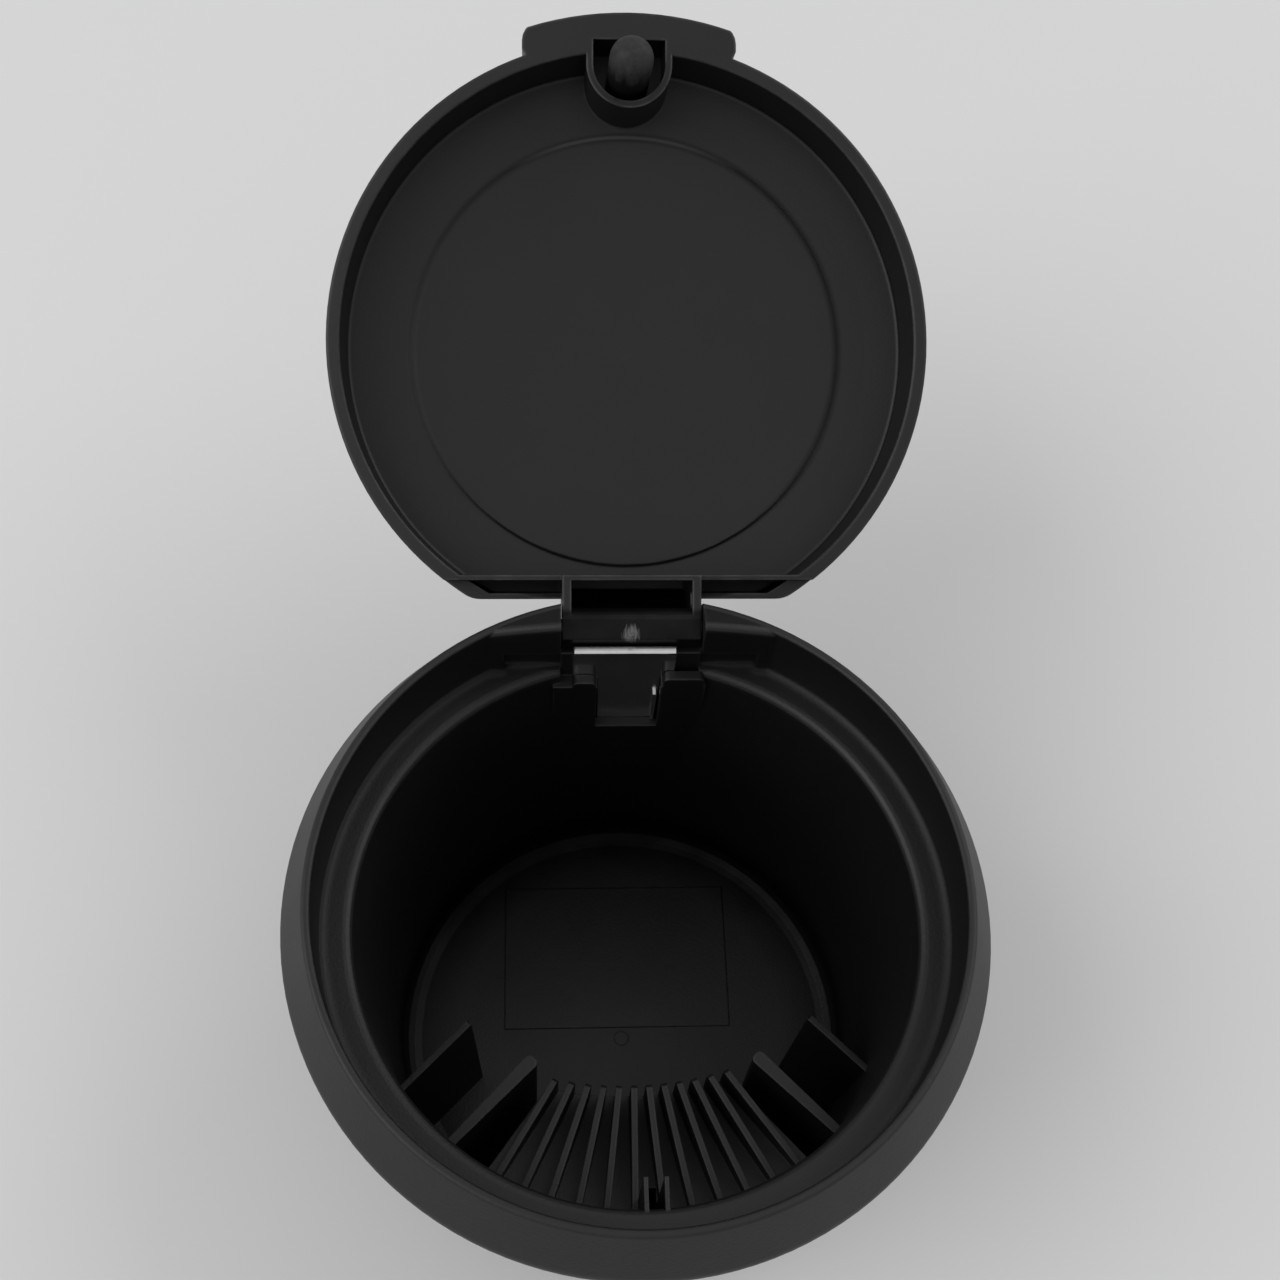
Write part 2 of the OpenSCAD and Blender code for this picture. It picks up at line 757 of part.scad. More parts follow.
// Thumb tab: a wedge that runs up the skirt, flush with the rim underneath, and covers the peg's pocket
module thumb_tab() {
  inner_r = skirt_in_r + 0.6;
  tip_r = lid_r + tab_out;
  root_half = tab_half - tab_nick;
  root_y = sqrt(lid_r * lid_r - tab_half * tab_half) + 0.2;
  tip_y = sqrt(tip_r * tip_r - tab_half * tab_half) + 0.3;
  intersection() {
    rotate_extrude()
      polygon([
        [inner_r, rim_z],
        [tip_r, rim_z],
        [tip_r, rim_z + tab_t],
        [lid_r + 1.5, rim_z + 6],
        [lid_r + 0.8, pocket_z + 0.8],
        [lid_r - 0.9, pocket_z + 2.5],
        [inner_r, pocket_z + 2.5]
      ]);
    translate([0, 0, rim_z])
      linear_extrude(skirt_h + plate_t)
        polygon(rounded([
          [-root_half, -30, 0],
          [-root_half, -root_y, 0],
          [-tab_half, -root_y - 0.7, 0.3],
          [-tab_half, -tip_y, tab_round],
          [0, -tip_r - 2.6, 0],
          [tab_half, -tip_y, tab_round],
          [tab_half, -root_y - 0.7, 0.3],
          [root_half, -root_y, 0],
          [root_half, -30, 0]
        ]));
  }
}

// Plan of the peg's pocket: a round back with straight sides to the front wall
module pocket_plan(grow, front_y) {
  r = pocket_half + grow;
  polygon(concat(
    [for (a = [0:5:180]) [r * cos(a), peg_y - 0.9 + r * sin(a)]],
    [[-r, front_y], [r, front_y]]
  ));
}

// Wall of the peg's pocket, from the lid's rim up into its plate
module peg_pocket_wall() {
  intersection() {
    translate([0, 0, rim_z])
      linear_extrude(skirt_h + 1)
        pocket_plan(pocket_t, -lid_r);
    cylinder(r = lid_r - 0.4, h = 2 * far);
  }
}

// Lid as it lies when shut, before its holes
module lid_shut() {
  difference() {
    union() {
      intersection() {
        union() {
          rotate_extrude($fn = 120)
            lid_section();
          lid_end();
        }
        before_end();
      }
      hinge_block();
      thumb_tab();
      peg_pocket_wall();
    }
    dome_clearance();
    barrel_flats();
    block_pocket();
    translate([0, 0, rim_z - 1])
      linear_extrude(pocket_depth + 1)
        pocket_plan(0, pocket_front_y);
    translate([-far / 2, hinge_y, hinge_z])
      rotate([0, 90, 0])
        cylinder(d = pin_d + 2 * barrel_clearance, h = far, $fn = 48);
  }
  translate([0, peg_y, pocket_z - spigot_len])
    cylinder(d = spigot_d, h = spigot_len + 0.5, $fn = 32);
}

// Turns a shut-lid piece to where it stands with the lid fully open
module opened() {
  translate([0, hinge_y, hinge_z])
    rotate([-open_angle, 0, 0])
      translate([0, -hinge_y, -hinge_z])
        children();
}

module lid() {
  color(black_lid)
    opened()
      lid_shut();
}

module hinge_pin() {
  half = cheek_half - 0.2;
  pin_len = 2 * half;
  pin_r = pin_d / 2;
  chamfer = 0.2;
  color(steel)
    translate([-half, hinge_y, hinge_z])
      rotate([0, 90, 0])
        rotate_extrude($fn = 48)
          polygon([
            [0, 0],
            [pin_r - chamfer, 0],
            [pin_r, chamfer],
            [pin_r, pin_len - chamfer],
            [pin_r - chamfer, pin_len],
            [0, pin_len]
          ]);
}

// T-shaped leaf: a head in front of the barrel, shoulders on the column and a tongue in its channel,
// with one edge of the tongue folded forward
module leaf_spring() {
  head_l = -head_w / 2 - 0.8;
  head_r = head_w / 2 - 0.8;
  tongue = channel_half - 0.2;
  top_z = ledge_z + head_h;
  color(steel)
    translate([0, spring_y - 0.02, 0]) {
      rotate([90, 0, 0])
        linear_extrude(spring_t)
          polygon(rounded([
            [head_l, top_z, 0.3],
            [head_l + 0.1, column_z, 0.4],
            [-tongue - 0.1, column_z, 0.1],
            [-tongue + 0.2, column_z - tongue_len, 1],
            [tongue - 0.2, column_z - tongue_len, 1],
            [tongue + 0.1, column_z, 0.1],
            [head_r - 0.1, column_z, 0.4],
            [head_r, top_z, 0.3]
          ]));
      translate([tongue - 0.65, -spring_t - fold_h, column_z - 3.6 - fold_len])
        cube([0.4, fold_h + eps, fold_len]);
      translate([head_l + 0.2, -spring_t - 0.05, top_z - 0.4])
        rotate([0, 90, 0])
          cylinder(r = 0.4, h = head_w - 0.4, $fn = 24);
    }
}

module catch_peg() {
  tip_z = rim_z - peg_drop;
  tip_r = peg_d / 2;
  bore = spigot_d / 2 + 0.02;
  bore_z = pocket_z - spigot_len - 0.2;
  color(rubber)
    opened()
      translate([0, peg_y, 0])
        rotate_extrude($fn = 64)
          polygon(concat(
            [for (i = [0:8]) [tip_r * sin(90 * i / 8), tip_z + tip_r * (1 - cos(90 * i / 8))]],
            [[tip_r, pocket_z], [bore, pocket_z], [bore, bore_z], [0, bore_z]]
          ));
}

body();
lid();
hinge_pin();
leaf_spring();
catch_peg();
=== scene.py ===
"""Dresses the cup-holder ashtray: black mouldings, bright spring, rubber peg and plain studio."""
import json
import math
import random

import bpy
from mathutils import Matrix, Vector


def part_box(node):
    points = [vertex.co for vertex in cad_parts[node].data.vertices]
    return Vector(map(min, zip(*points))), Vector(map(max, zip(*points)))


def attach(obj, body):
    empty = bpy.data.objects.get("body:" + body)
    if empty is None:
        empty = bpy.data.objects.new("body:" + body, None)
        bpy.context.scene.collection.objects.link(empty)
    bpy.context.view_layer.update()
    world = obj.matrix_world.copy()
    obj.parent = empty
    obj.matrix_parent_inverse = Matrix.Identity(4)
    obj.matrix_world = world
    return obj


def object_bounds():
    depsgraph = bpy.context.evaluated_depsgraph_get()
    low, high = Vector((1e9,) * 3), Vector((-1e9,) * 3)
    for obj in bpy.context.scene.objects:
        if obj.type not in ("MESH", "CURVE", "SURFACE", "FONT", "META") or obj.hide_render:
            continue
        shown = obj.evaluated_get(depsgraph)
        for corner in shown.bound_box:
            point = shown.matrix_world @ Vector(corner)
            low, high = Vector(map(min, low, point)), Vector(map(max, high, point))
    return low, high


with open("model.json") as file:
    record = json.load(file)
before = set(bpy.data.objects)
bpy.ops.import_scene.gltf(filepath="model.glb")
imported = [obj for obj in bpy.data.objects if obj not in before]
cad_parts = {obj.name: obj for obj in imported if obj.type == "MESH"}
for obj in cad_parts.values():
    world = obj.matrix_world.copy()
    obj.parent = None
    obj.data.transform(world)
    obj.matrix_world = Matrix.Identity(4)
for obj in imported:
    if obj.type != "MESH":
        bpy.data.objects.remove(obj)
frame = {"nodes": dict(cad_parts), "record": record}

bl_info = {
    "name": "Cup-holder Ashtray Dresser",
    "version": (1, 0, 0),
    "blender": (4, 5, 0),
    "location": "3D View > Sidebar > Ashtray",
    "description": "Gives the ashtray its moulded plastic, spring steel and rubber, and lights it",
    "category": "Object",
}

CAD_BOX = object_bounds()

# Height of the ledge inside the collar, which the camera's place is measured from
LEDGE_Z = 0.0496

# The inside of the bowl: its radius at the ledge and at the floor, and the floor's height
MOUTH_R, FLOOR_R = 0.0335, 0.03065
FLOOR_Z = 0.0024

# Radius of the recess above the ledge
RECESS_R = 0.0373

# How far into the plastic a mask goes on, past the recess and past the bowl's wall
RECESS_SKIN, WALL_SKIN = 0.0003, 0.0008

# The hinge axis, and the flat on the open lid's barrel that faces forward and up
LID_JOINT = frame["record"]["behaviour"]["joints"][0]
HINGE = Vector(LID_JOINT["pos_m"])
FLAT_OUT = 0.002
FLAT_TILT = math.radians(40)

# How far the lid turns to shut, and how far the open lid leans back from level, inside up
LID_TURN = math.radians(LID_JOINT["range_deg"][1])
LID_TILT = math.pi - LID_TURN

# The shut lid: the radius of the shallow disc inside it, and a height between that disc and its top
DISC_R = 0.0282
LID_INSIDE_Z = 0.0693

# The shut lid's top edge over the tab: the spans of depth and height in which its mask comes in
OVER_TAB_Y, OVER_TAB_Z = (-0.0371, -0.0374), (0.0684, 0.0687)

# How the plastic's mottle varies its colour, as a share, and its roughness
MOTTLE_SHARE, ROUGH_SPREAD = 0.15, 0.05

# How much smoother a rubbed edge is, and how much rougher a scuffed patch
WORN_SMOOTHER, SCUFF_ROUGHER = 0.15, 0.2

# How far the painted shade hides the skin's own reflection, which only a metallic share can do by a
# mask
PAINTED_SHADE_COVER = 0.92

# The point that the lamps look at
LAMP_AIM = Vector((0, 0.03, 0.05))

# Spans for a mask that comes in, and for one that goes out
RISE, FALL = (0.0, 1.0), (1.0, 0.0)

VECTOR, FLOAT = "NodeSocketVector", "NodeSocketFloat"


# Shared shader tools

def new_material(name):
    """An empty material with its output and Principled shader, joined."""
    material = bpy.data.materials.new(name)
    material.use_nodes = True
    tree = material.node_tree
    tree.nodes.clear()
    output = tree.nodes.new("ShaderNodeOutputMaterial")
    shader = tree.nodes.new("ShaderNodeBsdfPrincipled")
    output.location, shader.location = (900, 0), (600, 0)
    tree.links.new(shader.outputs["BSDF"], output.inputs["Surface"])
    return material, tree, shader


def object_coords(tree):
    """The Object coordinates of a material's surface."""
    return tree.nodes.new("ShaderNodeTexCoord").outputs["Object"]


def shader_group(name, inputs, outputs):
    """A new shader node group with its named sockets, and its start and end nodes."""
    group = bpy.data.node_groups.new(name, "ShaderNodeTree")
    for label, kind, default in inputs:
        socket = group.interface.new_socket(name=label, in_out="INPUT", socket_type=kind)
        if default is not None:
            socket.default_value = default
    for label in outputs:
        group.interface.new_socket(name=label, in_out="OUTPUT", socket_type=FLOAT)
    return group, group.nodes.new("NodeGroupInput"), group.nodes.new("NodeGroupOutput")


def placed_group(tree, build, coords, **values):
    """A group node fed with coordinates and values; the group is built the first time."""
    node = tree.nodes.new("ShaderNodeGroup")
    node.node_tree = bpy.data.node_groups.get(build.__name__) or build()
    tree.links.new(coords, node.inputs["Vector"])
    for label, value in values.items():
        node.inputs[label.replace("_", " ").title()].default_value = value
    return node


def feed(tree, value, socket):
    """Links an output socket to an input socket, or sets a plain value on it."""
    if isinstance(value, bpy.types.NodeSocket):
        tree.links.new(value, socket)
    else:
        socket.default_value = value


def math_node(tree, operation, *values):
    """A Math node on sockets or numbers; gives its output socket."""
    node = tree.nodes.new("ShaderNodeMath")
    node.operation = operation
    for socket, value in zip(node.inputs, values):
        feed(tree, value, socket)
    return node.outputs["Value"]


def product(tree, a, b):
    """Two masks or numbers multiplied."""
    return math_node(tree, "MULTIPLY", a, b)


def vector_node(tree, operation, *values):
    """A Vector Math node on sockets or vectors; gives its vector, or a length."""
    node = tree.nodes.new("ShaderNodeVectorMath")
    node.operation = operation
    for socket, value in zip(node.inputs, values):
        feed(tree, value, socket)
    return node.outputs["Value" if operation == "LENGTH" else "Vector"]


def noise_node(tree, vector, scale, detail=2.0, roughness=0.5):
    """A 3D Noise texture at a scale given in features a metre; gives its Fac socket."""
    node = tree.nodes.new("ShaderNodeTexNoise")
    feed(tree, vector, node.inputs["Vector"])
    feed(tree, scale, node.inputs["Scale"])
    node.inputs["Detail"].default_value = detail
    node.inputs["Roughness"].default_value = roughness
    return node.outputs["Fac"]


def occlusion_node(tree, distance, inside=False):
    """An Ambient Occlusion node on one piece alone, from outside or inside; gives its AO socket."""
    node = tree.nodes.new("ShaderNodeAmbientOcclusion")
    node.inside, node.only_local, node.samples = inside, True, 4
    feed(tree, distance, node.inputs["Distance"])
    return node.outputs["AO"]


def ranged(tree, value, source, target=RISE):
    """A clamped Map Range from one span of numbers to another; gives its output socket."""
    node = tree.nodes.new("ShaderNodeMapRange")
    for socket, number in zip(("From Min", "From Max", "To Min", "To Max"), (*source, *target)):
        node.inputs[socket].default_value = number
    tree.links.new(value, node.inputs["Value"])
    return node.outputs["Result"]


def blended(tree, mask, a, b):
    """A colour mix from a to b by a mask; a and b are sockets or colours."""
    node = tree.nodes.new("ShaderNodeMix")
    node.data_type = "RGBA"
    tree.links.new(mask, node.inputs["Factor"])
    for socket, colour in ((node.inputs[6], a), (node.inputs[7], b)):
        feed(tree, colour if isinstance(colour, bpy.types.NodeSocket) else (*colour, 1), socket)
    return node.outputs[2]


def two_tone(tree, value, low, high, span=RISE):
    """A ramp from a low colour to a high one over a span of a value; gives its Color socket."""
    node = tree.nodes.new("ShaderNodeValToRGB")
    for element, position, colour in zip(node.color_ramp.elements, span, (low, high)):
        element.position, element.color = position, (*colour, 1)
    tree.links.new(value, node.inputs["Fac"])
    return node.outputs["Color"]


def bumped(tree, shader, height, depth, normal=None):
    """Gives a shader a bump of a depth in metres, over its own normal or another."""
    node = tree.nodes.new("ShaderNodeBump")
    node.inputs["Distance"].default_value = depth
    tree.links.new(height, node.inputs["Height"])
    if normal is not None:
        tree.links.new(normal, node.inputs["Normal"])
    tree.links.new(node.outputs["Normal"], shader.inputs["Normal"])


def round_the_bowl(tree, vector):
    """Distance from the bowl's own axis, the depth coordinate and the height, from coordinates."""
    parts = tree.nodes.new("ShaderNodeSeparateXYZ")
    tree.links.new(vector, parts.inputs["Vector"])
    level = tree.nodes.new("ShaderNodeCombineXYZ")
    tree.links.new(parts.outputs["X"], level.inputs["X"])
    tree.links.new(parts.outputs["Y"], level.inputs["Y"])
    radius = vector_node(tree, "LENGTH", level.outputs["Vector"])
    return radius, parts.outputs["Y"], parts.outputs["Z"]


# Effects that the materials place as node groups

def mould_grain():
    """Height and mottle of a moulded surface: fine spark grain, with a slow ripple under it."""
    group, start, end = shader_group(
        "mould_grain",
        (("Vector", VECTOR, None), ("Grain Size", FLOAT, 0.0002)),
        ("Height", "Mottle"))
    per_metre = math_node(group, "DIVIDE", 1.0, start.outputs["Grain Size"])
    fine = noise_node(group, start.outputs["Vector"], per_metre)
    slow = noise_node(group, start.outputs["Vector"], 90.0)
    group.links.new(math_node(group, "ADD", fine, product(group, slow, 0.5)), end.inputs["Height"])
    group.links.new(slow, end.inputs["Mottle"])
    return group


def edge_wear_and_highlight():
    """Pale outer edges of a moulding, partly worn and partly a painted highlight: close to an edge,
    and patchy along it.
    """
    group, start, end = shader_group(
        "edge_wear_and_highlight",
        (("Vector", VECTOR, None), ("Reach", FLOAT, 0.0003)),
        ("Wear And Highlight",))
    near = occlusion_node(group, start.outputs["Reach"], inside=True)
    blotches = noise_node(group, start.outputs["Vector"], 400.0, detail=3.0, roughness=0.6)
    patches = ranged(group, blotches, (0.35, 0.65), (0.25, 1.0))
    group.links.new(product(group, ranged(group, near, (0.95, 0.6)), patches), end.inputs["Wear And Highlight"])
    return group


def scuff_and_light_patch():
    """A pale patch, strongest at its centre, ragged at its edge and drawn out in streaks: a scuff
    on the lid, painted light on the peg's tip.
    """
    group, start, end = shader_group(
        "scuff_and_light_patch",
        (("Vector", VECTOR, None), ("Centre", VECTOR, None), ("Turn", VECTOR, None),
         ("Half Size", VECTOR, (0.001, 0.001, 0.001)), ("Streaks", VECTOR, (5.0, 1.0, 1.0))),
        ("Scuff And Light",))
    place = group.nodes.new("ShaderNodeMapping")
    place.vector_type = "TEXTURE"
    for source, socket in (("Vector", "Vector"), ("Centre", "Location"),
                           ("Turn", "Rotation"), ("Half Size", "Scale")):
        group.links.new(start.outputs[source], place.inputs[socket])
    patch = place.outputs["Vector"]
    drawn = vector_node(group, "MULTIPLY", patch, start.outputs["Streaks"])
    streaks = noise_node(group, drawn, 1.0, detail=3.0, roughness=0.6)
    ragged = math_node(group, "ADD", vector_node(group, "LENGTH", patch),
                       ranged(group, streaks, (0.3, 0.7), (-0.35, 0.35)))
    pale_patch = product(group, ranged(group, ragged, (1.0, 0.6)),
                  ranged(group, streaks, (0.3, 0.7), (1.0, 0.5)))
    group.links.new(pale_patch, end.inputs["Scuff And Light"])
    return group


def ledge_corner():
    """The inner corner between the ledge and the recess wall, which the mould leaves soft."""
    group, start, end = shader_group(
        "ledge_corner",
        (("Vector", VECTOR, None), ("Rise", FLOAT, 0.003)),
        ("Softness", "Scuff And Light"))
    radius, _, height = round_the_bowl(group, start.outputs["Vector"])
    up = math_node(group, "SUBTRACT", height, LEDGE_Z)
    share = math_node(group, "DIVIDE", up, start.outputs["Rise"])
    low = product(group, ranged(group, share, (0.5, 1.0), FALL),
                  math_node(group, "GREATER_THAN", up, -RECESS_SKIN))
    outward = product(group, ranged(group, radius, (MOUTH_R + 0.0012, MOUTH_R + 0.002)),
                      math_node(group, "LESS_THAN", radius, RECESS_R + RECESS_SKIN))
    group.links.new(product(group, low, outward), end.inputs["Softness"])
    return group


def lid_edges():
    """The lid's soft edges, as if it were shut: its inner disc's, and its top's over the tab; and a
    painted highlight on the disc's edge by the tab.
    """
    group, start, end = shader_group(
        "lid_edges",
        (("Vector", VECTOR, None), ("Width", FLOAT, 0.0014)),
        ("Softness", "Scuff And Light"))
    shut = group.nodes.new("ShaderNodeMapping")
    shut.inputs["Rotation"].default_value = (LID_TURN, 0, 0)
    shut.inputs["Location"].default_value = HINGE - Matrix.Rotation(LID_TURN, 3, "X") @ HINGE
    group.links.new(start.outputs["Vector"], shut.inputs["Vector"])
    radius, depth, height = round_the_bowl(group, shut.outputs["Vector"])
    off = math_node(group, "ABSOLUTE", math_node(group, "SUBTRACT", radius, DISC_R))
    share = math_node(group, "DIVIDE", off, start.outputs["Width"])

    # The disc's edge is sharp by the hinge only
    disc = product(group, ranged(group, share, (0.4, 1.0), FALL),
                   ranged(group, depth, (0.014, 0.024), FALL))
    over_tab = product(group, ranged(group, depth, OVER_TAB_Y), ranged(group, height, OVER_TAB_Z))
    group.links.new(math_node(group, "MAXIMUM", disc, over_tab), end.inputs["Softness"])

    # A painted highlight: a pale line on the disc's edge by the tab
    line = product(group, ranged(group, share, (0.08, 0.26), (0.8, 0.0)),
                   ranged(group, depth, (-0.024, -0.0275)))
    inside = ranged(group, height, (LID_INSIDE_Z, LID_INSIDE_Z + 0.0005), FALL)
    group.links.new(product(group, line, inside), end.inputs["Scuff And Light"])
    return group


def bowl_painted_shade():
    """Painted shade in the bowl: most of it low on the wall, at the floor's back and corner, and in
    gaps.
    """
    group, start, end = shader_group(
        "bowl_painted_shade",
        (("Vector", VECTOR, None), ("Corner Depth", FLOAT, 0.007), ("Gap Width", FLOAT, 0.006)),
        ("Painted Shade",))
    radius, depth, height = round_the_bowl(group, start.outputs["Vector"])

    # Only inside the tapered wall and above the floor
    wall = ranged(group, height, (FLOOR_Z, LEDGE_Z), (FLOOR_R + WALL_SKIN, MOUTH_R + WALL_SKIN))
    within = product(group, math_node(group, "LESS_THAN", radius, wall),
                     math_node(group, "GREATER_THAN", height, FLOOR_Z - 0.001))

    # More of it the deeper, up the wall and towards the floor's back
    off_floor = ranged(group, height, (FLOOR_Z + 0.001, FLOOR_Z + 0.003))
    backward = ranged(group, depth, (-0.005, 0.02))
    deep = product(group, ranged(group, height, (LEDGE_Z - 0.004, LEDGE_Z - 0.03), (0.0, 0.5)),
                   math_node(group, "MAXIMUM", off_floor, backward))

    # In the corner where the wall meets the floor
    from_corner = group.nodes.new("ShaderNodeCombineXYZ")
    group.links.new(math_node(group, "SUBTRACT", radius, FLOOR_R - WALL_SKIN),
                    from_corner.inputs["X"])
    group.links.new(math_node(group, "SUBTRACT", height, FLOOR_Z + WALL_SKIN),
                    from_corner.inputs["Y"])
    away = vector_node(group, "LENGTH", from_corner.outputs["Vector"])
    share = math_node(group, "DIVIDE", away, start.outputs["Corner Depth"])
    corner = ranged(group, math_node(group, "SUBTRACT", 1.0, share), (0.0, 0.8), (0.0, 0.5))

    # Between the ribs and fins
    shut_in = occlusion_node(group, start.outputs["Gap Width"])
    gaps = ranged(group, shut_in, (0.9, 0.35), (0.0, 0.12))

    blotches = noise_node(group, start.outputs["Vector"], 180.0, detail=3.0)
    patches = ranged(group, blotches, (0.3, 0.7), (0.85, 1.0))
    gathered = math_node(group, "ADD", math_node(group, "ADD", deep, corner), gaps)
    painted_shade = product(group, math_node(group, "MINIMUM", gathered, 1.0), patches)
    group.links.new(product(group, painted_shade, within), end.inputs["Painted Shade"])
    return group


def hinge_painted_shade():
    """Painted shade: a thin dark layer round the hinge barrel."""
    group, start, end = shader_group(
        "hinge_painted_shade",
        (("Vector", VECTOR, None), ("Reach", FLOAT, 0.0027)),
        ("Painted Shade",))
    off = vector_node(group, "SUBTRACT", start.outputs["Vector"], HINGE)
    away = vector_node(group, "LENGTH", vector_node(group, "MULTIPLY", off, (0, 1, 1)))
    share = math_node(group, "DIVIDE", away, start.outputs["Reach"])
    blotches = noise_node(group, start.outputs["Vector"], 250.0, detail=3.0)
    patches = ranged(group, blotches, (0.3, 0.7), (0.55, 0.75))
    group.links.new(product(group, ranged(group, share, (1.0, 1.15), FALL), patches),
                    end.inputs["Painted Shade"])
    return group


# Materials

def moulded_plastic(name, settings, *, roughness, grain_depth, edge_radius, wear_and_highlight_share,
                    soft_edges, soft_radius, painted_shade, scuff=None):
    """Black moulded plastic: satin, with spark grain, faint mottling, pale edges that are partly
    worn and partly painted highlight, and painted shade.
    """
    material, tree, shader = new_material(name)
    coords = object_coords(tree)
    grain = placed_group(tree, mould_grain, coords, grain_size=settings.grain_size)
    mottle = grain.outputs["Mottle"]
    soft = placed_group(tree, soft_edges, coords)

    # A soft edge is rubbed less than a sharp one; the pale edges are partly worn, partly painted
    # highlight
    wear_and_highlight = placed_group(tree, edge_wear_and_highlight, coords, reach=settings.wear_reach).outputs["Wear And Highlight"]
    sharp = math_node(tree, "SUBTRACT", wear_and_highlight_share, soft.outputs["Softness"])
    wear_and_highlight = product(tree, wear_and_highlight, math_node(tree, "MAXIMUM", sharp, 0.0))
    # The lid's painted highlight on its disc's edge joins the pale edges
    wear_and_highlight = math_node(tree, "MAXIMUM", wear_and_highlight, soft.outputs["Scuff And Light"])

    skin = two_tone(tree, mottle, [channel * (1 - MOTTLE_SHARE) for channel in settings.colour],
                    [channel * (1 + MOTTLE_SHARE) for channel in settings.colour])
    colour = blended(tree, wear_and_highlight, skin, settings.worn_colour)
    satin = ranged(tree, mottle, RISE, (roughness - ROUGH_SPREAD, roughness + ROUGH_SPREAD))
    rough = math_node(tree, "SUBTRACT", satin, product(tree, wear_and_highlight, WORN_SMOOTHER))

    # Painted shade: a dark layer that darkens the colour, and the reflection through the metallic
    # share
    painted_shade_mask = placed_group(tree, painted_shade, coords).outputs["Painted Shade"]
    colour = blended(tree, painted_shade_mask, colour, settings.film_colour)
    tree.links.new(product(tree, painted_shade_mask, PAINTED_SHADE_COVER), shader.inputs["Metallic"])
    if scuff:
        pale_patch = placed_group(tree, scuff_and_light_patch, coords, **scuff).outputs["Scuff And Light"]
        colour = blended(tree, pale_patch, colour, settings.scuff_colour)
        rough = math_node(tree, "ADD", rough, product(tree, pale_patch, SCUFF_ROUGHER))
    tree.links.new(colour, shader.inputs["Base Color"])
    tree.links.new(rough, shader.inputs["Roughness"])
    shader.inputs["Specular IOR Level"].default_value = settings.sheen

    rounding = tree.nodes.new("ShaderNodeBevel")
    rounding.samples = 4
    tree.links.new(ranged(tree, soft.outputs["Softness"], RISE, (edge_radius, soft_radius)),
                   rounding.inputs["Radius"])
    bumped(tree, shader, grain.outputs["Height"], depth=grain_depth,
           normal=rounding.outputs["Normal"])
    return material


def rolled_steel(name, colour, smoothest, roughest):
    """Rolled steel, with fine rolling lines across the sheet and faint smudges."""
    material, tree, shader = new_material(name)
    coords = object_coords(tree)
    stretch = tree.nodes.new("ShaderNodeMapping")
    stretch.inputs["Scale"].default_value = (1.0, 1.0, 30.0)
    tree.links.new(coords, stretch.inputs["Vector"])
    lines = noise_node(tree, stretch.outputs["Vector"], 260.0, detail=3.0)
    smudges = noise_node(tree, coords, 300.0, detail=3.0, roughness=0.6)
    darker = [channel * 0.88 for channel in colour]
    tree.links.new(blended(tree, ranged(tree, smudges, (0.35, 0.65)), darker, colour),
                   shader.inputs["Base Color"])
    shader.inputs["Metallic"].default_value = 1.0
    tree.links.new(ranged(tree, lines, (0.3, 0.7), (smoothest, roughest)),
                   shader.inputs["Roughness"])
    bumped(tree, shader, lines, depth=0.000004)
    return material


def peg_rubber(name, settings, tip, tilt):
    """Matt dark rubber, with painted light on its tip: pale and mottled there, fading towards the
    base.
    """
    material, tree, shader = new_material(name)
    coords = object_coords(tree)
    bloom = noise_node(tree, coords, 900.0, detail=3.0, roughness=0.6)
    # Painted light on the tip, fading to the rubber's own colour towards the base
    pale_patch = placed_group(tree, scuff_and_light_patch, coords, centre=tip, turn=(tilt, 0, 0),
                       half_size=(0.008, 0.008, 0.0058), streaks=(9.0, 9.0, 0.8)).outputs["Scuff And Light"]
    tip_light = blended(tree, bloom, settings.thin_dust, settings.thick_dust)
    tree.links.new(blended(tree, pale_patch, settings.rubber_colour, tip_light), shader.inputs["Base Color"])
    shader.inputs["Roughness"].default_value = 0.6
    shader.inputs["Specular IOR Level"].default_value = 0.2
    bumped(tree, shader, bloom, depth=0.00002)
    return material


def torn_plastic(name, settings):
    """Plastic torn at the gate: paler and rougher than the moulded skin."""
    material, tree, shader = new_material(name)
    tear = noise_node(tree, object_coords(tree), 5000.0, detail=4.0, roughness=0.7)
    shade = two_tone(tree, tear, settings.tear_shadow, settings.tear_colour, (0.35, 0.7))
    tree.links.new(shade, shader.inputs["Base Color"])
    shader.inputs["Roughness"].default_value = 0.75
    bumped(tree, shader, tear, depth=0.00008)
    return material


def pale_matt(name, colour):
    """A plain matt surface for the studio's floor."""
    material, _, shader = new_material(name)
    shader.inputs["Base Color"].default_value = (*colour, 1)
    shader.inputs["Roughness"].default_value = 0.8
    shader.inputs["Specular IOR Level"].default_value = 0.2
    return material


# Pieces

def dress(node, material):
    """Gives a carried-over node its material."""
    piece = frame["nodes"][node]
    piece.data.materials.clear()
    piece.data.materials.append(material)


def gate_foot(plastic):
    """The middle of the torn gate, on the flat of the open lid's barrel."""
    facing = Vector((0, -math.sin(FLAT_TILT), math.cos(FLAT_TILT)))
    down = Vector((0, -math.cos(FLAT_TILT), -math.sin(FLAT_TILT)))
    return HINGE + facing * FLAT_OUT + down * plastic.gate_drop + Vector((plastic.gate_side, 0, 0))


